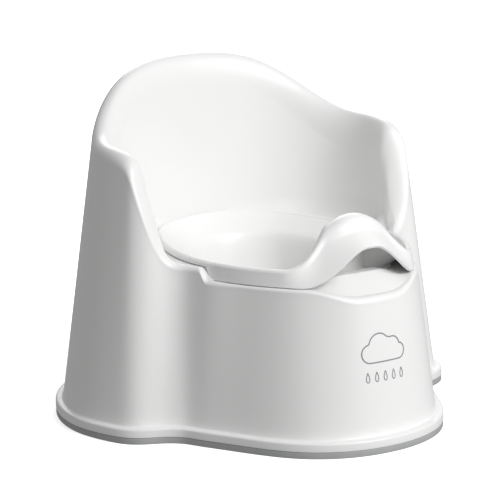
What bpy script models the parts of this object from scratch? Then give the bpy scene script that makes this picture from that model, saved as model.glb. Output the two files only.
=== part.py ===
"""Potty training chair: a moulded chair shell, a lift-out inner potty and an anti-slip strip.

Metres, +Z up.  The origin is under the middle of the chair, on the floor.
+Y points to the backrest, and the sitting child faces -Y.
Every outline is given as its right half and mirrored in the plane x = 0.
"""

import math

import bmesh
import bpy
import numpy as np

MM = 0.001

# ---- driving dimensions, in millimetres ------------------------------------------------

HEIGHT = 315.0             # top of the backrest
SEAT_TOP = 153.5           # flat ledge that the potty's rim rests on
FRONT_TOP = 143.5          # front wall under the potty's skirt
SCOOP_LOW = 136.0          # lowest point of the finger scoop in the front wall
SCOOP_HIGH = 151.0         # back edge of the finger scoop
SCOOP_HALF = 60.0          # half width of the scoop
SHELL_WALL = 2.8           # wall thickness of the chair moulding
POTTY_WALL = 2.2           # wall thickness of the potty moulding
GAP = 0.3                  # clearance between the flange and the strip
EDGE_GAP = 0.8             # clearance under the potty's edges

STRIP_HEIGHT = 6.0         # soft strip under the flange
STRIP_WIDTH = 7.0
FLANGE_OUT = 7.0           # how far the flange stands out from the wall
FLANGE_TOP = 14.0          # top of the flange
FLANGE_EDGE = 11.5         # height where the flange's rounded edge starts

CREST_EASE = 1.6           # how much deeper the crest rounds over on its inner side
CREST_EASE_RISE = (40.0, 90.0)   # height over the ledge between which that sets in
LEDGE_FILLET = 20.0        # fillet between the inner wall and the seat ledge
LEDGE_MARGIN = 11.8        # level part of the ledge, under the potty's rim
HOLE_LIP = 9.0             # turned-down lip round the hole
HOLE_LIP_RADIUS = 2.5

RIM_TOP = 159.0            # top of the potty's rim
RIM_RISE = 3.5             # how much higher it is at the back
RIM_RADIUS = 3.5
RIM_RISE_Y = (20.0, 130.0)   # where it rises, in the outlines' own y
RIM_BAND = 30.0            # width of the rim's inward slope
RIM_DROP = 15.0            # height that the slope loses
BOWL_FLOOR = 36.0          # underside level of the bowl's floor
BOWL_CORNER = 26.0         # radius between the bowl's wall and its floor
FLOOR_SCALE = 0.60         # size of the bowl's floor against the rim

GUARD_TOP = 201.5          # top of the splash guard
GUARD_FLAT = 41.0          # half width of its high middle
GUARD_HALF = 73.0          # half width where it starts to rise
GUARD_CROWN = 13.0         # how much its top edge falls at GUARD_CROWN_AT from the middle
GUARD_CROWN_AT = 50.0
GUARD_ROLL = 9.0           # extra rounding over its top
GUARD_SETBACK = 16.0       # how far its top lies behind the line of the front wall
ARCH_TOP = 177.0           # lower edge of its front, over the finger scoop
ARCH_FLAT = 4.0            # half width of that opening's level middle
ARCH_HALF = 62.0           # half width of the opening

NOTCH_Y = -37.0            # where the skirt ends on each side, in the outlines' own y
NOTCH_WIDTH = 14.0
NOTCH_GAP = 9.0            # how much further forward the skirt's own step lies
SKIRT_OUT = 1.5            # how far the skirt stands out from the rim's line
WALL_LEAN = math.tan(math.radians(8.3))   # draft of the front wall

CENTRE_Y = 7.5             # middle of the chair's length, in the outlines' own y
CHAIR_COLUMNS = 64
POTTY_COLUMNS = 72

# Stations round the right half, front centre to back centre.  Each one gives the foot of the
# outer wall, the crest with its height and half thickness, the foot of the inner wall and
# the edge of the seat hole.
STATIONS = [
    # wall foot      crest           height     half  inner foot     hole edge
    ((0, -168),     (0, -147),      SEAT_TOP,   3.0, (0, -126),     (0, -114)),
    ((34, -163),    (28, -143),     SEAT_TOP,   3.0, (27, -123),    (25, -111)),
    ((66, -146),    (55, -128),     SEAT_TOP,   3.0, (50, -112),    (47, -102)),
    ((90, -118),    (75, -104),     SEAT_TOP,   3.0, (67, -93),     (62, -85)),
    ((108, -86),    (92, -74),      SEAT_TOP,   3.0, (84, -66),     (77, -61)),
    ((122, -60),    (105, -49),     154.0,      4.0, (99, -42),     (92, -38)),
    ((131, -43),    (113, -26),     154.5,      5.0, (107, -25),    (97, -23)),
    ((145, -31),    (126, -12),     161.0,      7.0, (119, -9),     (98.5, -9)),
    ((161, -23),    (136, -3),      192.0,     10.5, (124.5, 2),    (98.5, 1)),
    ((173, -13),    (140.5, 8),     229.0,     12.5, (126, 11),     (97.5, 10)),
    ((182, 8),      (142, 20),      248.5,     12.5, (129, 21),     (96, 18)),
    ((188, 46),     (143, 52),      254.0,     12.5, (126, 46),     (91, 37)),
    ((175, 98),     (129, 90),      260.0,     12.0, (113, 79),     (79, 66)),
    ((137, 147),    (100, 122),     286.0,     11.0, (87, 107),     (60, 94)),
    ((78, 175),     (58, 141),      309.0,     11.0, (51, 128),     (34, 115)),
    ((0, 183),      (0, 148),       HEIGHT,    11.0, (0, 138),      (0, 121.5)),
]

# The potty's rim, right half, front centre to back centre.
RIM = [(0, -147), (28, -142.5), (55, -127), (75, -103), (92, -74), (103, -42), (106, -6),
       (99, 34), (83, 76), (56, 110), (0, 129)]


# ---- outlines --------------------------------------------------------------------------

def periodic_spline(points, count):
    """Smooth closed curve through points, sampled at count even steps of its parameter."""
    points = np.asarray(points, dtype=float)
    n = len(points)
    ring = np.zeros((n, n))
    for i in range(n):
        ring[i, i] = 4.0
        ring[i, (i + 1) % n] = 1.0
        ring[i, i - 1] = 1.0
    slope = np.linalg.solve(ring, 3.0 * (np.roll(points, -1, 0) - np.roll(points, 1, 0)))
    out = []
    for step in range(count):
        t = step * n / count
        i = int(t)
        f = t - i
        a, b = points[i % n], points[(i + 1) % n]
        u, v = slope[i % n], slope[(i + 1) % n]
        out.append((1 - 3 * f**2 + 2 * f**3) * a + (3 * f**2 - 2 * f**3) * b
                   + (f - 2 * f**2 + f**3) * u + (f**3 - f**2) * v)
    return np.array(out)


def mirrored(half, signs):
    """Closed list of stations from its right half; signs flips what the mirror flips."""
    half = np.asarray(half, dtype=float)
    return np.vstack([half, half[-2:0:-1] * np.asarray(signs, dtype=float)])


def outward(outline):
    """Unit normals of a closed outline, pointing away from its inside."""
    along = np.roll(outline, -1, 0) - np.roll(outline, 1, 0)
    normal = np.stack([along[:, 1], -along[:, 0]], axis=1)
    return normal / np.linalg.norm(normal, axis=1)[:, None]


def ramp(value, low, high):
    """0 below low, 1 above high, smooth between."""
    t = np.clip((value - low) / (high - low), 0.0, 1.0)
    return t * t * (3 - 2 * t)


# ---- mesh building ---------------------------------------------------------------------

def placed(point):
    """Point in metres, with the chair's length centred on y = 0."""
    return (point[0] * MM, (point[1] - CENTRE_Y) * MM, point[2] * MM)


def loft(name, rows, closed_end=False):
    """Open surface through rows of points; each row is a ring round the chair."""
    mesh = bpy.data.meshes.new(name)
    bm = bmesh.new()
    rings = [[bm.verts.new(placed(point)) for point in row] for row in rows]
    count = len(rings[0])
    for lower, upper in zip(rings, rings[1:]):
        for i in range(count):
            j = (i + 1) % count
            bm.faces.new((lower[i], lower[j], upper[j], upper[i]))
    if closed_end:
        centre = bm.verts.new(placed(np.mean(rows[-1], axis=0)))
        last = rings[-1]
        for i in range(count):
            bm.faces.new((last[i], last[(i + 1) % count], centre))
    bm.to_mesh(mesh)
    bm.free()
    mesh.shade_smooth()
    return mesh


def add_node(collection, name, mesh, material):
    """Named object for one sub-part."""
    obj = bpy.data.objects.new(name, mesh)
    mesh.materials.append(material)
    collection.objects.link(obj)
    return obj


def solidify(obj, thickness):
    """Wall thickness, added on the hidden side of the surface."""
    wall = obj.modifiers.new("wall", "SOLIDIFY")
    wall.thickness = thickness * MM
    wall.offset = -1.0
    wall.use_even_offset = True


def plastic(name, colour, roughness, coat=0.0):
    """Moulded plastic material."""
    material = bpy.data.materials.new(name)
    material.use_nodes = True
    shader = material.node_tree.nodes["Principled BSDF"]
    shader.inputs["Base Color"].default_value = (*colour, 1.0)
    shader.inputs["Roughness"].default_value = roughness
    shader.inputs["Metallic"].default_value = 0.0
    shader.inputs["Coat Weight"].default_value = coat
    return material


# ---- chair shell -----------------------------------------------------------------------

def chair_columns():
    """Station values sampled at every column of the chair."""
    flat = [(*foot, *crest, height, half, *inner, *hole)
            for foot, crest, height, half, inner, hole in STATIONS]
    signs = (-1, 1, -1, 1, 1, 1, -1, 1, -1, 1)
    table = periodic_spline(mirrored(flat, signs), CHAIR_COLUMNS)
    return {"foot": table[:, 0:2], "crest": table[:, 2:4], "height": table[:, 4],
            "half": table[:, 5], "inner": table[:, 6:8], "hole": table[:, 8:10]}


def shell_heights(columns):
    """Heights of the crest and of the seat ledge, with the skirt's step and the scoop."""
    x = np.abs(columns["crest"][:, 0])
    y = columns["inner"][:, 1]
    skirt = 1 - ramp(y, NOTCH_Y - NOTCH_WIDTH / 2, NOTCH_Y + NOTCH_WIDTH / 2)
    drop = (SEAT_TOP - FRONT_TOP) * skirt
    scoop = np.where(y < -60, 1 - ramp(x, 0.3 * SCOOP_HALF, SCOOP_HALF), 0.0)
    crest = columns["height"] - drop - scoop * (FRONT_TOP - SCOOP_LOW)
    ledge = SEAT_TOP - drop + scoop * (SCOOP_HIGH - FRONT_TOP)
    return crest, ledge


def at_height(plan, z):
    """3-D points from plan points and heights."""
    return np.column_stack([plan, np.broadcast_to(z, len(plan))])


def shell_rows(columns):
    """Rings of the chair's visible surface, from the flange up, over the crest and down."""
    foot, crest, inner, hole = (columns[k] for k in ("foot", "crest", "inner", "hole"))
    half = columns["half"]
    top, ledge = shell_heights(columns)
    out = outward(foot)
    across = inner - foot
    across /= np.linalg.norm(across, axis=1)[:, None]
    raised = ramp(top - ledge, 2.0, 40.0)

    rows = [
        at_height(foot + out * FLANGE_OUT, STRIP_HEIGHT + GAP),
        at_height(foot + out * FLANGE_OUT, FLANGE_EDGE),
        at_height(foot + out * (FLANGE_OUT - 1.6), FLANGE_TOP),
        at_height(foot + out * 1.2, FLANGE_TOP + 0.6),
        at_height(foot - out * 0.6, FLANGE_TOP + 4.0),
    ]
    # outer wall, straight from its foot to where the crest's rounding starts
    start = rows[-1]
    full = at_height(crest - across * half[:, None], columns["height"] - half)
    share = (top - half - start[:, 2]) / (full[:, 2] - start[:, 2])
    end = start + (full - start) * share[:, None]
    for part in (0.3, 0.6, 0.85, 1.0):
        rows.append(start + (end - start) * part)
    # the crest: a half turn on the arms and back, a quarter turn on the front wall
    turn = 90 + 90 * raised
    centre = end[:, :2] + across * half[:, None]
    depth = half * (1 + CREST_EASE * ramp(top - ledge, *CREST_EASE_RISE))
    for part in (0.25, 0.5, 0.75, 1.0):
        angle = np.radians(180 - turn * part)
        drop = np.where(angle > math.pi / 2, half, depth) * (1 - np.sin(angle))
        rows.append(at_height(centre + across * (np.cos(angle) * half)[:, None], top - drop))
    # inner wall down to the fillet, or up the scoop's slope
    start = rows[-1]
    width = np.linalg.norm(hole - inner, axis=1)
    fillet = np.clip((width - LEDGE_MARGIN) / 0.8, 2.0, LEDGE_FILLET) * raised
    fillet = np.minimum(fillet, np.maximum(0.4 * (top - ledge), 0.0))
    end = at_height(inner, ledge + fillet)
    for part in (0.34, 0.67, 1.0):
        rows.append(start + (end - start) * part)
    # fillet and seat ledge
    inward = hole - inner
    inward /= width[:, None]
    reach = (0.8 * fillet + 1.0)[:, None]
    for degrees in (40, 90):
        angle = math.radians(degrees)
        rows.append(at_height(inner + inward * reach * (1 - math.cos(angle)),
                              ledge + fillet * (1 - math.sin(angle))))
    # hole edge and its turned-down lip
    rows.append(at_height(hole - inward * HOLE_LIP_RADIUS, ledge))
    rows.append(at_height(hole, ledge - HOLE_LIP_RADIUS))
    rows.append(at_height(hole, ledge - HOLE_LIP))
    return rows


def make_chair_shell(collection, material, columns):
    mesh = loft("chair_shell", shell_rows(columns))
    obj = add_node(collection, "chair_shell", mesh, material)
    solidify(obj, SHELL_WALL)
    return obj


# ---- anti-slip strip -------------------------------------------------------------------

def make_strip(collection, material, columns):
    """Soft ring under the flange, a closed loop of rectangular section."""
    foot = columns["foot"]
    out = outward(foot)
    outer = foot + out * (FLANGE_OUT - 0.2)
    inner = foot + out * (FLANGE_OUT - STRIP_WIDTH)
    section = [(outer, 0.0), (outer, STRIP_HEIGHT), (inner, STRIP_HEIGHT), (inner, 0.0)]
    rows = [at_height(plan, z) for plan, z in section]
    mesh = bpy.data.meshes.new("anti_slip_strip")
    bm = bmesh.new()
    rings = [[bm.verts.new(placed(point)) for point in row] for row in rows]
    count = len(foot)
    for k in range(len(rings)):
        lower, upper = rings[k], rings[(k + 1) % len(rings)]
        for i in range(count):
            j = (i + 1) % count
            bm.faces.new((lower[i], lower[j], upper[j], upper[i]))
    bm.to_mesh(mesh)
    bm.free()
    return add_node(collection, "anti_slip_strip", mesh, material)


# ---- inner potty -----------------------------------------------------------------------

def potty_rows():
    """Rings of the potty's visible surface, from its outer edge over the rim into the bowl."""
    rim = periodic_spline(mirrored(RIM, (-1, 1)), POTTY_COLUMNS)
    out = outward(rim)
    step = NOTCH_Y - NOTCH_GAP
    skirt = 1 - ramp(rim[:, 1], step - NOTCH_WIDTH / 2, step + NOTCH_WIDTH / 2)
    rim = rim + out * (SKIRT_OUT * skirt)[:, None]
    x, y = np.abs(rim[:, 0]), rim[:, 1]
    front = y < -80
    guard = np.where(front, 1 - ramp(x, GUARD_FLAT, GUARD_HALF), 0.0)
    arch = np.where(front, 1 - ramp(x, ARCH_FLAT, ARCH_HALF), 0.0)

    edge = SEAT_TOP + EDGE_GAP - (SEAT_TOP - FRONT_TOP) * skirt
    edge = edge + (ARCH_TOP - FRONT_TOP - EDGE_GAP) * arch
    back = RIM_RISE * ramp(y, *RIM_RISE_Y)
    crown = GUARD_CROWN * (x / GUARD_CROWN_AT)**2
    top = RIM_TOP + (GUARD_TOP - RIM_TOP - crown) * guard + back
    roll = RIM_RADIUS + GUARD_ROLL * guard
    low = SEAT_TOP - (SEAT_TOP - FRONT_TOP) * skirt

    # skirt or guard front, from its lower edge up to where the top's rounding starts
    shoulder = top - roll
    foot_inset = (edge - low) * WALL_LEAN
    head_inset = (shoulder - low) * WALL_LEAN * skirt + GUARD_SETBACK * guard
    start = at_height(rim - out * foot_inset[:, None], edge)
    end = at_height(rim - out * head_inset[:, None], shoulder)
    rows = [start + (end - start) * part for part in (0.0, 0.5, 1.0)]
    centre = rim - out * (head_inset + roll)[:, None]
    for degrees in (140, 100, 60, 30):
        angle = math.radians(degrees)
        rows.append(at_height(centre - out * (roll * math.cos(angle))[:, None],
                              shoulder + roll * math.sin(angle)))
    # inward slope of the rim, which is the guard's rear face in front
    last = rows[-1]
    brim = at_height(rim - out * (RIM_BAND + 12 * guard)[:, None], RIM_TOP - RIM_DROP)
    for part in (0.5, 0.94):
        rows.append(last + (brim - last) * part)
    # bowl wall, corner and floor
    middle = np.array([0.0, -10.0])
    inset = middle + (rim - middle) * (FLOOR_SCALE + 0.1)
    wall_end = at_height(inset, BOWL_FLOOR + BOWL_CORNER)
    for part in (0.03, 0.5, 1.0):
        rows.append(brim + (wall_end - brim) * part)
    rows.append(at_height(middle + (rim - middle) * (FLOOR_SCALE + 0.04),
                          BOWL_FLOOR + 0.3 * BOWL_CORNER))
    rows.append(at_height(middle + (rim - middle) * (FLOOR_SCALE - 0.12), BOWL_FLOOR))
    rows.append(at_height(middle + (rim - middle) * 0.2, BOWL_FLOOR))
    return rows


def make_potty(collection, material):
    mesh = loft("inner_potty", potty_rows(), closed_end=True)
    obj = add_node(collection, "inner_potty", mesh, material)
    solidify(obj, POTTY_WALL)
    return obj


# ---- assembly --------------------------------------------------------------------------

def main():
    for obj in list(bpy.data.objects):
        bpy.data.objects.remove(obj, do_unlink=True)
    collection = bpy.data.collections.new("potty_training_chair")
    bpy.context.scene.collection.children.link(collection)
    columns = chair_columns()
    white = plastic("white_gloss_plastic", (0.86, 0.86, 0.85), 0.22, coat=0.3)
    bowl_white = plastic("bowl_white_plastic", (0.88, 0.88, 0.87), 0.26, coat=0.2)
    grey = plastic("grey_soft_strip", (0.36, 0.37, 0.37), 0.6)
    make_chair_shell(collection, white, columns)
    make_strip(collection, grey, columns)
    make_potty(collection, bowl_white)


main()
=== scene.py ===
"""Visual model of a potty training chair: chair shell, inner potty, anti-slip strip and front print.

Lengths in the shape tables are millimetres, and placed() turns them into metres in the CAD frame.
"""

import math

import bpy
import numpy as np
from mathutils import Matrix, Vector


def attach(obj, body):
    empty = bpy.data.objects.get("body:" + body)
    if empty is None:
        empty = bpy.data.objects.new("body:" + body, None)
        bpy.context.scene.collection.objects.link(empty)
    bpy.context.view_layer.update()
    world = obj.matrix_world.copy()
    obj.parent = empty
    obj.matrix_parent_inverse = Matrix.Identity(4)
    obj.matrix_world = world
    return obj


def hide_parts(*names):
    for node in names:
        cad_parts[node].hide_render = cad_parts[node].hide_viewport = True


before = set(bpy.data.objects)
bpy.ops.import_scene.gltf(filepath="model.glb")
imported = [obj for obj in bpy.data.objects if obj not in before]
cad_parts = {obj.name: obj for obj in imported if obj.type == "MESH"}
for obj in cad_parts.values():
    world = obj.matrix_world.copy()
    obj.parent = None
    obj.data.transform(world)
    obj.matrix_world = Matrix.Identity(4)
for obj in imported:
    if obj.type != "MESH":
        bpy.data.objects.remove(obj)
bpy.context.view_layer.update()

MM = 0.001

# ---- driving dimensions, in millimetres ------------------------------------------------

HEIGHT = 315.0             # top of the backrest
SEAT_TOP = 153.5           # ledge that the potty's rim rests on
FRONT_TOP = 143.5          # front wall under the potty's skirt
SCOOP_LOW = 136.0          # lowest point of the finger scoop
SCOOP_HIGH = 151.0         # back edge of the finger scoop
SCOOP_HALF = 60.0          # half width of the scoop
SCOOP_FLAT = 18.0          # half width of its level middle
SCOOP_Y = -60.0            # it lies in front of this, in the outlines' own y
SCOOP_ROUND = 3.5          # extra rounding of the wall's top edge at the scoop
SHELL_WALL = 2.6           # wall thickness of the chair moulding
POTTY_WALL = 2.1           # wall thickness of the potty moulding
SEAM_GAP = 0.8             # gap under the potty's edges

STRIP_HEIGHT = 6.0         # soft strip under the flange
STRIP_WIDTH = 6.8
STRIP_INSET = 0.2          # how far its face stays behind the flange's edge
STRIP_EDGE = 0.8           # rounding of the strip's edges
FLANGE_OUT = 7.0           # how far the flange stands out from the wall
FLANGE_LOW = 6.3           # lower edge of the flange
FLANGE_TOP = 14.0          # top of the flange
FLANGE_EDGE = 1.8          # rounding of the flange's outer edge
FLANGE_WALL = 1.5          # its wall thickness
FLANGE_CREASE = 1.6        # fillet between the flange and the wall
FLANGE_SLOPE = 0.2         # how much the flange's top rises towards the wall
WALL_RISE = 4.0            # height over the flange where the straight outer wall starts
WALL_INSET = 0.6           # how far it has leaned in there

CREST_TURN_RISE = (2.0, 40.0)    # height over the ledge where a quarter round becomes a half
CREST_EASE = 1.6           # how much deeper the crest rounds over on its inner side
CREST_EASE_RISE = (40.0, 90.0)   # height over the ledge between which that sets in
LEDGE_FILLET = 20.0        # fillet between the inner wall and the seat ledge
FILLET_SPREAD = 0.8        # its width against its height
FILLET_LEAST = 2.0         # its least height
FILLET_SHARE = 0.4         # its greatest share of the wall's height over the ledge
FILLET_RUN = 1.0           # width that is added to the fillet
LEDGE_MARGIN = 11.8        # level part of the ledge, under the potty's rim
HOLE_LIP = 9.0             # turned-down lip round the seat hole
HOLE_LIP_RADIUS = 2.5
HOLE_LIP_WALL = 1.9
SHELL_EDGE = 0.5           # rounding of the chair moulding's cut edges
POTTY_EDGE = 0.6           # the same on the potty

RIM_TOP = 159.0            # top of the potty's rim at the sides
RIM_RISE = 3.5             # how much higher it is at the back
RIM_RISE_Y = (20.0, 130.0)       # where it rises, in the outlines' own y
RIM_RADIUS = 3.5
RIM_BAND = 30.0            # width of the rim's inward slope
RIM_DROP = 15.0            # height that the slope loses
BOWL_MIDDLE = (0.0, -10.0)       # point that the bowl narrows towards, in the outlines' own y
BOWL_FLOOR = 36.0          # level of the bowl's floor
BOWL_CORNER = 26.0         # radius between the bowl's wall and its floor
FLOOR_SCALE = 0.60         # size of the bowl's floor against the rim

GUARD_TOP = 201.5          # top of the splash guard
GUARD_Y = -80.0            # it lies in front of this, in the outlines' own y
GUARD_FLAT = 41.0          # half width of its high middle
GUARD_HALF = 73.0          # half width where it starts to rise
GUARD_CROWN = 13.0         # how much its top edge falls at GUARD_CROWN_AT from the middle
GUARD_CROWN_AT = 50.0
GUARD_SETBACK = 16.0       # how far its top lies behind the line of the front wall
GUARD_ROLL = 9.0           # extra rounding over the guard's top
GUARD_DEPTH = 12.0         # extra width of the rim's slope behind it
ARCH_TOP = 177.0           # lower edge of its front, over the finger scoop
ARCH_FLAT = 4.0            # half width of that opening's level middle
ARCH_HALF = 62.0           # half width of the opening

NOTCH_Y = -41.0            # where the skirt ends on each side, in the outlines' own y
NOTCH_WIDTH = 9.0          # length over which it ends
SKIRT_STEP = 0.6           # how much further forward the skirt's own step lies
SKIRT_OUT = 1.5            # how far the skirt stands out from the rim's line
WALL_LEAN = math.tan(math.radians(8.3))   # draft of the front wall
CENTRE_Y = 7.5             # middle of the chair's length, in the outlines' own y

PRINT_LIFT = 0.12          # how far the ink stands off the wall
PRINT_Y = -120.0           # the wall that takes the print lies in front of this
PRINT_LINE = 1.15          # line width of the cloud
CLOUD_BASE = 78.5          # flat lower edge of the cloud
# Its arcs: centre x and z, radius, and first and last angle in degrees.
CLOUD_ARCS = [(-14.5, 86.5, 8.0, 270, 100), (-4.5, 93.0, 10.5, 165, 40),
              (9.5, 91.0, 8.0, 105, 5), (16.0, 85.5, 7.0, 70, -90)]
DROP_LINE = 0.9            # line width of the drops
DROP_SIZE = 4.2            # half length of a drop
DROP_LEVEL = 66.0          # height of the row of drops
DROP_REACH = 18.0          # half length of the row

CHAIR_COLUMNS = 400        # points round each ring of the chair
POTTY_COLUMNS = 400        # and of the potty

# Stations round the right half, front centre to back centre: foot of the outer wall, crest
# with its height and half thickness, foot of the inner wall and edge of the seat hole.
STATIONS = [
    ((0, -168),     (0, -147),      153.5,      3.0, (0, -126),     (0, -114)),
    ((34, -163),    (28, -143),     153.5,      3.0, (27, -123),    (25, -111)),
    ((66, -146),    (55, -128),     153.5,      3.0, (50, -112),    (47, -102)),
    ((90, -118),    (75, -104),     153.5,      3.0, (67, -93),     (62, -85)),
    ((108, -86),    (92, -74),      153.5,      3.0, (84, -66),     (77, -61)),
    ((122, -60),    (105, -49),     154.0,      4.0, (99, -42),     (92, -38)),
    ((131, -43),    (113, -26),     154.5,      5.0, (107, -25),    (97, -23)),
    ((145, -31),    (126, -12),     161.0,      7.0, (119, -9),     (98.5, -9)),
    ((161, -23),    (136, -3),      192.0,     10.5, (124.5, 2),    (98.5, 1)),
    ((173, -13),    (140.5, 8),     229.0,     12.5, (126, 11),     (97.5, 10)),
    ((182, 8),      (142, 20),      248.5,     12.5, (129, 21),     (96, 18)),
    ((188, 46),     (143, 52),      254.0,     12.5, (126, 46),     (91, 37)),
    ((175, 98),     (129, 90),      260.0,     12.0, (113, 79),     (79, 66)),
    ((137, 147),    (100, 122),     286.0,     11.0, (87, 107),     (60, 94)),
    ((78, 175),     (58, 141),      309.0,     11.0, (51, 128),     (34, 115)),
    ((0, 183),      (0, 148),       HEIGHT,    11.0, (0, 138),      (0, 121.5)),
]

# The potty's rim, right half, front centre to back centre.
RIM = [(0, -147), (28, -142.5), (55, -127), (75, -103), (92, -74), (103, -42), (106, -6),
       (99, 34), (83, 76), (56, 110), (0, 129)]


# ---- outlines --------------------------------------------------------------------------

def periodic_spline(points, count):
    """Smooth closed curve through points, sampled at count even steps of its parameter."""
    points = np.asarray(points, dtype=float)
    n = len(points)
    ring = 4.0 * np.eye(n) + np.roll(np.eye(n), 1, 0) + np.roll(np.eye(n), -1, 0)
    slope = np.linalg.solve(ring, 3.0 * (np.roll(points, -1, 0) - np.roll(points, 1, 0)))
    t = np.arange(count) * n / count
    i = t.astype(int)
    f = (t - i)[:, None]
    j = (i + 1) % n
    return ((1 - 3 * f**2 + 2 * f**3) * points[i] + (3 * f**2 - 2 * f**3) * points[j]
            + (f - 2 * f**2 + f**3) * slope[i] + (f**3 - f**2) * slope[j])


def mirrored(half, signs):
    """Closed list of stations from its right half; signs flips what the mirror flips."""
    half = np.asarray(half, dtype=float)
    return np.vstack([half, half[-2:0:-1] * np.asarray(signs, dtype=float)])


def outward(outline):
    """Unit normals of a closed outline, pointing away from its inside."""
    along = np.roll(outline, -1, 0) - np.roll(outline, 1, 0)
    normal = np.stack([along[:, 1], -along[:, 0]], axis=1)
    return normal / np.linalg.norm(normal, axis=1)[:, None]


def ramp(value, low, high):
    """0 below low, 1 above high, smooth between."""
    t = np.clip((value - low) / (high - low), 0.0, 1.0)
    return t * t * (3 - 2 * t)


def at_height(plan, z):
    """3-D points from plan points and heights."""
    return np.column_stack([plan, np.broadcast_to(z, len(plan))])


def soft_curve(controls, count):
    """Rows along a clamped cubic B-spline whose control points are whole rings."""
    controls = np.array([controls[0]] * 2 + list(controls) + [controls[-1]] * 2)
    spans = len(controls) - 3
    rows = []
    for t in np.linspace(0, spans, count):
        i = min(int(t), spans - 1)
        f = t - i
        weights = ((1 - f)**3, 3 * f**3 - 6 * f**2 + 4, -3 * f**3 + 3 * f**2 + 3 * f + 1, f**3)
        rows.append(sum(w * ring for w, ring in zip(weights, controls[i:i + 4])) / 6)
    return rows


# ---- mesh building ---------------------------------------------------------------------

def placed(points):
    """Millimetre points as metres, with the chair's length centred on y = 0."""
    return (np.asarray(points, dtype=float) - (0, CENTRE_Y, 0)) * MM


def ring_faces(lower, upper, count):
    """Quads between two rings of vertices that start at indices lower and upper."""
    return [(lower + i, lower + (i + 1) % count, upper + (i + 1) % count, upper + i)
            for i in range(count)]


def new_piece(name, points, faces, material, body):
    """Mesh object in the CAD frame that rides on a body."""
    mesh = bpy.data.meshes.new(name)
    mesh.from_pydata(placed(points).tolist(), [], faces)
    mesh.validate()
    mesh.shade_smooth()
    mesh.materials.append(material)
    obj = bpy.data.objects.new(name, mesh)
    bpy.context.scene.collection.objects.link(obj)
    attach(obj, body)
    return obj


def sheet(rows, walls, closed_end=False):
    """Points and faces of a moulded wall: rows of its visible side, each with a thickness."""
    grid = np.array(rows)
    along = np.roll(grid, -1, 1) - np.roll(grid, 1, 1)
    across = np.gradient(grid, axis=0)
    normal = np.cross(along, across)
    normal /= np.linalg.norm(normal, axis=2)[..., None]
    hidden = grid - normal * np.asarray(walls)[:, None, None]
    count = grid.shape[1]
    height = len(rows)
    points = np.vstack([grid.reshape(-1, 3), hidden.reshape(-1, 3)])
    back = height * count
    faces = []
    for k in range(height - 1):
        faces += ring_faces(k * count, (k + 1) * count, count)
        faces += ring_faces(back + (k + 1) * count, back + k * count, count)
    faces += ring_faces(back, 0, count)
    if closed_end:
        for start, side in ((back - count, grid), (len(points) - count, hidden)):
            centre = len(points)
            points = np.vstack([points, side[-1].mean(axis=0)])
            pairs = [(start + i, start + (i + 1) % count) for i in range(count)]
            faces += [(a, b, centre) if side is grid else (b, a, centre) for a, b in pairs]
    else:
        faces += ring_faces(back - count, len(points) - count, count)
    return points, faces


def round_edges(obj, width):
    """Small rounding on the edges where a sheet ends."""
    bevel = obj.modifiers.new("edges", "BEVEL")
    bevel.width = width * MM
    bevel.segments = 3
    bevel.limit_method = "ANGLE"
    bevel.angle_limit = math.radians(60)


# ---- chair shell -----------------------------------------------------------------------

def chair_columns():
    """Station values sampled at every column of the chair."""
    flat = [(*foot, *crest, height, half, *inner, *hole)
            for foot, crest, height, half, inner, hole in STATIONS]
    signs = (-1, 1, -1, 1, 1, 1, -1, 1, -1, 1)
    table = periodic_spline(mirrored(flat, signs), CHAIR_COLUMNS)
    columns = {"foot": table[:, 0:2], "crest": table[:, 2:4], "height": table[:, 4],
               "half": table[:, 5], "inner": table[:, 6:8], "hole": table[:, 8:10]}
    columns["half"] = columns["half"] + SCOOP_ROUND * scoop_share(columns)
    return columns


def skirt_share(y, offset=0.0):
    """1 where the front wall is lowered for the potty's skirt, 0 behind the notch."""
    middle = NOTCH_Y - offset
    return 1 - ramp(y, middle - NOTCH_WIDTH / 2, middle + NOTCH_WIDTH / 2)


def scoop_share(columns):
    """1 in the middle of the finger scoop, 0 outside it."""
    x = np.abs(columns["crest"][:, 0])
    return np.where(columns["inner"][:, 1] < SCOOP_Y, 1 - ramp(x, SCOOP_FLAT, SCOOP_HALF), 0)


def crest_heights(columns):
    """Height of the wall's top edge, with the step for the skirt and the finger scoop."""
    drop = (SEAT_TOP - FRONT_TOP) * skirt_share(columns["crest"][:, 1])
    return columns["height"] - drop - scoop_share(columns) * (FRONT_TOP - SCOOP_LOW)


def ledge_heights(columns, plan):
    """Height of the seat ledge at plan points, with the same step and the scoop's back edge."""
    drop = (SEAT_TOP - FRONT_TOP) * skirt_share(plan[:, 1])
    return SEAT_TOP - drop + scoop_share(columns) * (SCOOP_HIGH - FRONT_TOP)


def wall_ends(columns):
    """Rings where the straight outer wall starts and ends, and the direction across it."""
    foot, half = columns["foot"], columns["half"]
    across = columns["inner"] - foot
    across /= np.linalg.norm(across, axis=1)[:, None]
    start = at_height(foot - outward(foot) * WALL_INSET, FLANGE_TOP + WALL_RISE)
    full = at_height(columns["crest"] - across * half[:, None], columns["height"] - half)
    part = (crest_heights(columns) - half - start[:, 2]) / (full[:, 2] - start[:, 2])
    return start, start + (full - start) * part[:, None], across


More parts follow.
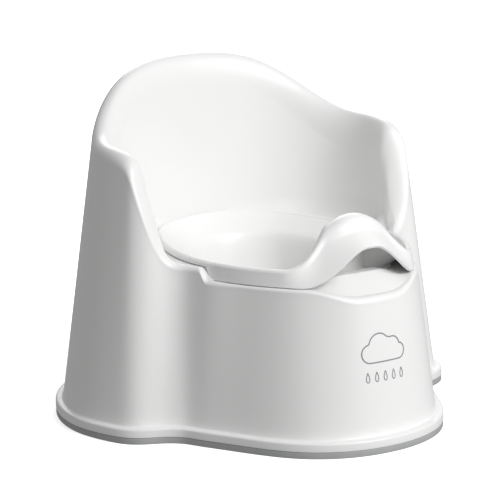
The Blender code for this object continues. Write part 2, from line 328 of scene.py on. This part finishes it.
def flange_rows(foot):
    """Rings of the flange's visible side and the crease over it."""
    out = outward(foot)
    rows = [at_height(foot + out * FLANGE_OUT, z)
            for z in np.linspace(FLANGE_LOW, FLANGE_TOP - FLANGE_EDGE, 4)]
    for degrees in range(15, 91, 15):
        angle = math.radians(degrees)
        rows.append(at_height(foot + out * (FLANGE_OUT - FLANGE_EDGE * (1 - math.cos(angle))),
                              FLANGE_TOP - FLANGE_EDGE * (1 - math.sin(angle))))
    rows.append(at_height(foot + out * (0.5 * FLANGE_OUT), FLANGE_TOP + 0.5 * FLANGE_SLOPE))
    for degrees in range(0, 76, 15):
        angle = math.radians(degrees)
        rows.append(at_height(foot + out * (FLANGE_CREASE - FLANGE_CREASE * math.sin(angle)),
                              FLANGE_TOP + FLANGE_SLOPE + FLANGE_CREASE * (1 - math.cos(angle))))
    return rows


def shell_sheet(columns):
    """Rings of the chair's visible side with the wall's thickness at each."""
    inner, hole, half = (columns[k] for k in ("inner", "hole", "half"))
    top = crest_heights(columns)
    ledge = ledge_heights(columns, inner)
    raised = ramp(top - ledge, *CREST_TURN_RISE)
    rows = flange_rows(columns["foot"])
    walls = [FLANGE_WALL] * len(rows)

    # straight outer wall, then the crest: a quarter round in front, a half on the arms and back
    start, end, across = wall_ends(columns)
    rows += [start + (end - start) * part for part in np.linspace(0, 1, 26)]
    centre = end[:, :2] + across * half[:, None]
    depth = half * (1 + CREST_EASE * ramp(top - ledge, *CREST_EASE_RISE))
    for part in np.linspace(0, 1, 21)[1:]:
        angle = np.radians(180 - 90 * (1 + raised) * part)
        drop = np.where(angle > math.pi / 2, half, depth) * (1 - np.sin(angle))
        rows.append(at_height(centre + across * (np.cos(angle) * half)[:, None], top - drop))
    walls += [SHELL_WALL] * (len(rows) - len(walls))

    # inner wall down to the fillet, or up the scoop's slope
    start = rows[-1]
    width = np.linalg.norm(hole - inner, axis=1)
    fillet = np.clip((width - LEDGE_MARGIN) / FILLET_SPREAD, FILLET_LEAST, LEDGE_FILLET) * raised
    fillet = np.minimum(fillet, np.maximum(FILLET_SHARE * (top - ledge), 0.0))
    end = at_height(inner, ledge + fillet)
    rows += [start + (end - start) * part for part in np.linspace(0, 1, 21)[1:]]
    inward = hole - inner
    inward /= width[:, None]
    reach = (FILLET_SPREAD * fillet + FILLET_RUN)[:, None]
    for degrees in range(10, 91, 10):
        angle = math.radians(degrees)
        plan = inner + inward * reach * (1 - math.cos(angle))
        level = ledge_heights(columns, plan)
        rows.append(at_height(plan, level + fillet * (1 - math.sin(angle))))
    last = plan
    edge = hole - inward * HOLE_LIP_RADIUS
    for part in (0.33, 0.67, 1.0):
        plan = last + (edge - last) * part
        rows.append(at_height(plan, ledge_heights(columns, plan)))
    walls += [SHELL_WALL] * (len(rows) - len(walls))

    # rounded hole edge and its turned-down lip
    level = ledge_heights(columns, edge)
    for degrees in range(18, 91, 18):
        angle = math.radians(degrees)
        rows.append(at_height(edge + inward * HOLE_LIP_RADIUS * math.sin(angle),
                              level - HOLE_LIP_RADIUS * (1 - math.cos(angle))))
    rows.append(at_height(hole, level - 0.6 * HOLE_LIP))
    rows.append(at_height(hole, level - HOLE_LIP))
    walls += [HOLE_LIP_WALL] * (len(rows) - len(walls))
    return rows, walls


def make_chair_shell(material):
    points, faces = sheet(*shell_sheet(chair_columns()))
    obj = new_piece("chair_moulding", points, faces, material, "chair")
    round_edges(obj, SHELL_EDGE)
    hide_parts("chair_shell")
    return obj


# ---- anti-slip strip -------------------------------------------------------------------

def make_strip(material):
    """Soft ring under the flange: a rectangle with rounded corners, carried round the foot."""
    foot = chair_columns()["foot"]
    out = outward(foot)
    face = FLANGE_OUT - STRIP_INSET
    corners = [(face, 0.0, 0), (face, STRIP_HEIGHT, 90),
               (face - STRIP_WIDTH, STRIP_HEIGHT, 180), (face - STRIP_WIDTH, 0.0, 270)]
    section = []
    for r, z, first in corners:
        centre_r = r - STRIP_EDGE if r == face else r + STRIP_EDGE
        centre_z = STRIP_EDGE if z == 0.0 else STRIP_HEIGHT - STRIP_EDGE
        for degrees in np.linspace(first - 90, first, 5):
            angle = math.radians(degrees)
            section.append((centre_r + STRIP_EDGE * math.cos(angle),
                            centre_z + STRIP_EDGE * math.sin(angle)))
    points = np.vstack([at_height(foot + out * r, z) for r, z in section])
    count = len(foot)
    faces = []
    for k in range(len(section)):
        faces += ring_faces(k * count, (k + 1) % len(section) * count, count)
    obj = new_piece("anti_slip_ring", points, faces, material, "chair")
    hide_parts("anti_slip_strip")
    return obj


# ---- inner potty -----------------------------------------------------------------------

def potty_sheet():
    """Rings of the potty's visible side, from its lower edge over the rim into the bowl."""
    rim = periodic_spline(mirrored(RIM, (-1, 1)), POTTY_COLUMNS)
    out = outward(rim)
    skirt = skirt_share(rim[:, 1], offset=SKIRT_STEP)
    rim = rim + out * (SKIRT_OUT * skirt)[:, None]
    x, y = np.abs(rim[:, 0]), rim[:, 1]
    front = y < GUARD_Y
    guard = np.where(front, 1 - ramp(x, GUARD_FLAT, GUARD_HALF), 0.0)
    arch = np.where(front, 1 - ramp(x, ARCH_FLAT, ARCH_HALF), 0.0)

    low = SEAT_TOP - (SEAT_TOP - FRONT_TOP) * skirt
    edge = low + SEAM_GAP + (ARCH_TOP - FRONT_TOP - SEAM_GAP) * arch
    back = RIM_RISE * ramp(y, *RIM_RISE_Y)
    crown = GUARD_CROWN * (x / GUARD_CROWN_AT)**2
    top = RIM_TOP + (GUARD_TOP - RIM_TOP - crown) * guard + back
    roll = RIM_RADIUS + GUARD_ROLL * guard

    # skirt or guard front, from its lower edge up and over its rounded top
    shoulder = top - roll
    foot_inset = (edge - low) * WALL_LEAN
    head_inset = (shoulder - low) * WALL_LEAN * skirt + GUARD_SETBACK * guard
    start = at_height(rim - out * foot_inset[:, None], edge)
    end = at_height(rim - out * head_inset[:, None], shoulder)
    rows = [start + (end - start) * part for part in np.linspace(0, 1, 10)]
    centre = rim - out * (head_inset + roll)[:, None]
    for degrees in range(170, 29, -10):
        angle = math.radians(degrees)
        rows.append(at_height(centre - out * (roll * math.cos(angle))[:, None],
                              shoulder + roll * math.sin(angle)))

    # inward slope, brim, bowl wall, corner and floor
    last = rows[-1]
    middle = np.array(BOWL_MIDDLE)
    brim = at_height(rim - out * (RIM_BAND + GUARD_DEPTH * guard)[:, None], RIM_TOP - RIM_DROP)
    wall_end = at_height(middle + (rim - middle) * (FLOOR_SCALE + 0.1), BOWL_FLOOR + BOWL_CORNER)
    corner = at_height(middle + (rim - middle) * (FLOOR_SCALE + 0.07), BOWL_FLOOR)
    floor = at_height(middle + (rim - middle) * (FLOOR_SCALE - 0.15), BOWL_FLOOR)
    core = at_height(middle + (rim - middle) * 0.02, BOWL_FLOOR)
    controls = [last, last + (brim - last) * 0.35, last + (brim - last) * 0.75, brim,
                brim + (wall_end - brim) * 0.3, brim + (wall_end - brim) * 0.65, wall_end,
                corner, floor, floor + (core - floor) * 0.5, core]
    rows += soft_curve(controls, 64)[1:]
    return rows, [POTTY_WALL] * len(rows)


def make_potty(material):
    points, faces = sheet(*potty_sheet(), closed_end=True)
    obj = new_piece("potty_moulding", points, faces, material, "potty")
    round_edges(obj, POTTY_EDGE)
    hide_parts("inner_potty")
    return obj


# ---- print on the front ----------------------------------------------------------------

def on_front(x, z):
    """Points just outside the straight front wall at the given x and z."""
    start, end, _ = wall_ends(chair_columns())
    front = np.where(start[:, 1] < PRINT_Y)[0]
    front = front[np.argsort(start[front, 0])]
    start, end = start[front], end[front]
    points = []
    for px, pz in zip(x, z):
        part = (pz - start[:, 2]) / (end[:, 2] - start[:, 2])
        line = start + (end - start) * part[:, None]
        points.append((px, np.interp(px, line[:, 0], line[:, 1]) - PRINT_LIFT, pz))
    return np.array(points)


def cloud_outline():
    """Closed outline of a small cloud: four arcs over a flat base with rounded ends."""
    base = np.linspace(CLOUD_ARCS[-1][0], CLOUD_ARCS[0][0], 12)[1:-1]
    outline = [(x, CLOUD_BASE) for x in base]
    for x, z, radius, first, last in CLOUD_ARCS:
        for degrees in np.linspace(first, last, 22):
            angle = math.radians(degrees)
            outline.append((x + radius * math.cos(angle), z + radius * math.sin(angle)))
    return outline


def drop_outline(x):
    """Closed outline of a raindrop under the cloud."""
    outline = []
    for degrees in range(0, 360, 15):
        angle = math.radians(degrees)
        width = DROP_SIZE * 0.5 * math.sin(angle) * math.sin(angle / 2)
        outline.append((x + width, DROP_LEVEL + DROP_SIZE * math.cos(angle)))
    return outline


def ribbon(outline, width):
    """Points and faces of a closed line of the given width, laid on the front wall."""
    line = np.asarray(outline, dtype=float)
    along = np.roll(line, -1, 0) - np.roll(line, 1, 0)
    side = np.stack([along[:, 1], -along[:, 0]], axis=1)
    side *= 0.5 * width / np.maximum(np.linalg.norm(side, axis=1), 1e-6)[:, None]
    points = np.vstack([on_front(*(line + side).T), on_front(*(line - side).T)])
    return points, ring_faces(0, len(line), len(line))


def make_print(material):
    """Cloud with a row of drops, printed in grey on the front of the chair."""
    shapes = [(cloud_outline(), PRINT_LINE)]
    shapes += [(drop_outline(x), DROP_LINE) for x in np.linspace(-DROP_REACH, DROP_REACH, 5)]
    points, faces = np.zeros((0, 3)), []
    for outline, width in shapes:
        more, quads = ribbon(outline, width)
        faces += [tuple(len(points) + i for i in quad) for quad in quads]
        points = np.vstack([points, more])
    return new_piece("front_print", points, faces, material, "chair")


# ---- materials -------------------------------------------------------------------------

def new_material(name):
    """New node material with its shader, its node tree and its object coordinates."""
    material = bpy.data.materials.new(name)
    material.use_nodes = True
    tree = material.node_tree
    place = tree.nodes.new("ShaderNodeTexCoord").outputs["Object"]
    return material, tree.nodes["Principled BSDF"], tree, place


def noise(tree, place, **settings):
    """Height of a noise texture with the given settings."""
    texture = tree.nodes.new("ShaderNodeTexNoise")
    for name, value in settings.items():
        texture.inputs[name].default_value = value
    tree.links.new(place, texture.inputs["Vector"])
    return texture.outputs["Fac"]


def tint(tree, shader, height, colour, darkest):
    """Base colour that wanders between colour and a darker shade of it."""
    shades = tree.nodes.new("ShaderNodeValToRGB")
    for element, position, shade in zip(shades.color_ramp.elements, (0.3, 0.7), (darkest, 1.0)):
        element.position = position
        element.color = (*[c * shade for c in colour], 1)
    tree.links.new(height, shades.inputs["Fac"])
    tree.links.new(shades.outputs["Color"], shader.inputs["Base Color"])


def grain(tree, shader, height, strength, distance):
    """Fine bumps in the surface."""
    bump = tree.nodes.new("ShaderNodeBump")
    bump.inputs["Strength"].default_value = strength
    bump.inputs["Distance"].default_value = distance
    tree.links.new(height, bump.inputs["Height"])
    tree.links.new(bump.outputs["Normal"], shader.inputs["Normal"])


def moulded_plastic(name, colour, roughness):
    """White polypropylene: faint clouding, uneven gloss and a fine moulded skin."""
    material, shader, tree, place = new_material(name)
    tint(tree, shader, noise(tree, place, Scale=9.0, Detail=4.0), colour, 0.985)
    gloss = tree.nodes.new("ShaderNodeMapRange")
    gloss.inputs["To Min"].default_value = roughness - 0.04
    gloss.inputs["To Max"].default_value = roughness + 0.05
    rub = noise(tree, place, Scale=38.0, Detail=6.0, Roughness=0.6)
    tree.links.new(rub, gloss.inputs["Value"])
    tree.links.new(gloss.outputs["Result"], shader.inputs["Roughness"])
    grain(tree, shader, noise(tree, place, Scale=420.0, Detail=2.0), 0.12, 0.0001)
    shader.inputs["IOR"].default_value = 1.49
    return material


def soft_strip(name, colour):
    """Grey elastomer or ink: matt, slightly mottled, with a fine grain."""
    material, shader, tree, place = new_material(name)
    tint(tree, shader, noise(tree, place, Scale=60.0, Detail=5.0), colour, 0.9)
    grain(tree, shader, noise(tree, place, Scale=900.0), 0.25, 0.0002)
    shader.inputs["Roughness"].default_value = 0.62
    return material


# ---- stage, light and camera -----------------------------------------------------------

FLOOR_REACH = 12.0         # metres from the middle of the floor to its edges
FLOOR_COLOUR = 0.85
GLOW_REACH = (0.19, 0.45)  # metres from the middle between which the floor's glow grows
GLOW_LEVEL = (0.62, 1.0)   # its strength there

LIGHT_AIM = (0.0, 0.0, 0.15)
LIGHT_DISTANCE = 2.5
WORLD_STRENGTH = 0.33      # ambient light; the backdrop itself is white
# Azimuth and elevation in degrees, size in metres and power in watts.
LIGHTS = [("key_light", 15, 35, 1.4, 44), ("low_light", 18, 12, 1.4, 8),
          ("back_light", 150, 30, 1.4, 24)]

CAMERA_ANGLES = (-33.8, 12.5, -0.8)    # azimuth, elevation and roll in degrees
CAMERA_AIM = (-0.0615, -0.053, 0.165)
CAMERA_DISTANCE = 2.0
CAMERA_LENS = 162.72


def direction(azimuth, elevation):
    """Unit vector towards an azimuth and elevation in radians; azimuth 0 is in front."""
    return Vector((math.sin(azimuth) * math.cos(elevation),
                   -math.cos(azimuth) * math.cos(elevation), math.sin(elevation)))


def soft_light(name, azimuth, elevation, size, power):
    """Round soft light that faces the object."""
    lamp = bpy.data.lights.new(name, "AREA")
    lamp.shape = "DISK"
    lamp.size = size
    lamp.energy = power
    obj = bpy.data.objects.new(name, lamp)
    bpy.context.scene.collection.objects.link(obj)
    towards = direction(math.radians(azimuth), math.radians(elevation))
    obj.location = towards * LIGHT_DISTANCE + Vector(LIGHT_AIM)
    aim = Vector(LIGHT_AIM) - obj.location
    obj.rotation_euler = aim.to_track_quat("-Z", "Y").to_euler()


def make_stage():
    """White floor: it glows a little, and more away from the object, so it stays white."""
    mesh = bpy.data.meshes.new("studio_floor")
    corners = [(x * FLOOR_REACH, y * FLOOR_REACH, 0)
               for x, y in ((-1, -1), (1, -1), (1, 1), (-1, 1))]
    mesh.from_pydata(corners, [], [(0, 1, 2, 3)])
    floor = bpy.data.objects.new("studio_floor", mesh)
    bpy.context.scene.collection.objects.link(floor)
    material, shader, tree, place = new_material("studio_white")
    shader.inputs["Base Color"].default_value = (*[FLOOR_COLOUR] * 3, 1)
    shader.inputs["Roughness"].default_value = 1.0
    shader.inputs["Specular IOR Level"].default_value = 0.0
    shader.inputs["Emission Color"].default_value = (1, 1, 1, 1)
    length = tree.nodes.new("ShaderNodeVectorMath")
    length.operation = "LENGTH"
    tree.links.new(place, length.inputs[0])
    glow = tree.nodes.new("ShaderNodeMapRange")
    for name, value in zip(("From Min", "From Max", "To Min", "To Max"), GLOW_REACH + GLOW_LEVEL):
        glow.inputs[name].default_value = value
    tree.links.new(length.outputs["Value"], glow.inputs["Value"])
    tree.links.new(glow.outputs["Result"], shader.inputs["Emission Strength"])
    mesh.materials.append(material)
    floor.visible_diffuse = False
    floor.visible_glossy = False


def make_lights():
    """Soft lights, and a world that is white to look at but lights the object only dimly."""
    for light in LIGHTS:
        soft_light(*light)
    world = bpy.data.worlds.new("studio_world")
    world.use_nodes = True
    nodes, links = world.node_tree.nodes, world.node_tree.links
    nodes["Background"].inputs["Color"].default_value = (1, 1, 1, 1)
    seen = nodes.new("ShaderNodeLightPath")
    level = nodes.new("ShaderNodeMapRange")
    level.inputs["To Min"].default_value = WORLD_STRENGTH
    level.inputs["To Max"].default_value = 1.0
    links.new(seen.outputs["Is Camera Ray"], level.inputs["Value"])
    links.new(level.outputs["Result"], nodes["Background"].inputs["Strength"])
    bpy.context.scene.world = world
    bpy.context.scene.view_settings.view_transform = "Standard"


def make_camera():
    """Camera that looks at the object from its left front, a little from above."""
    azimuth, elevation, roll = (math.radians(angle) for angle in CAMERA_ANGLES)
    back = direction(azimuth, elevation)
    camera = bpy.data.objects.new("camera", bpy.data.cameras.new("camera"))
    bpy.context.scene.collection.objects.link(camera)
    camera.data.lens = CAMERA_LENS
    place = Vector(CAMERA_AIM) + back * CAMERA_DISTANCE
    turn = (-back).to_track_quat("-Z", "Y").to_matrix().to_4x4()
    camera.matrix_world = Matrix.Translation(place) @ turn @ Matrix.Rotation(roll, 4, "Z")
    bpy.context.scene.camera = camera


# ---- the model -------------------------------------------------------------------------

make_camera()
make_chair_shell(moulded_plastic("chair_plastic", (0.87, 0.87, 0.865), 0.36))
make_strip(soft_strip("strip_elastomer", (0.42, 0.425, 0.425)))
make_potty(moulded_plastic("potty_plastic", (0.9, 0.9, 0.895), 0.33))
make_print(soft_strip("print_ink", (0.27, 0.275, 0.28)))
make_stage()
make_lights()
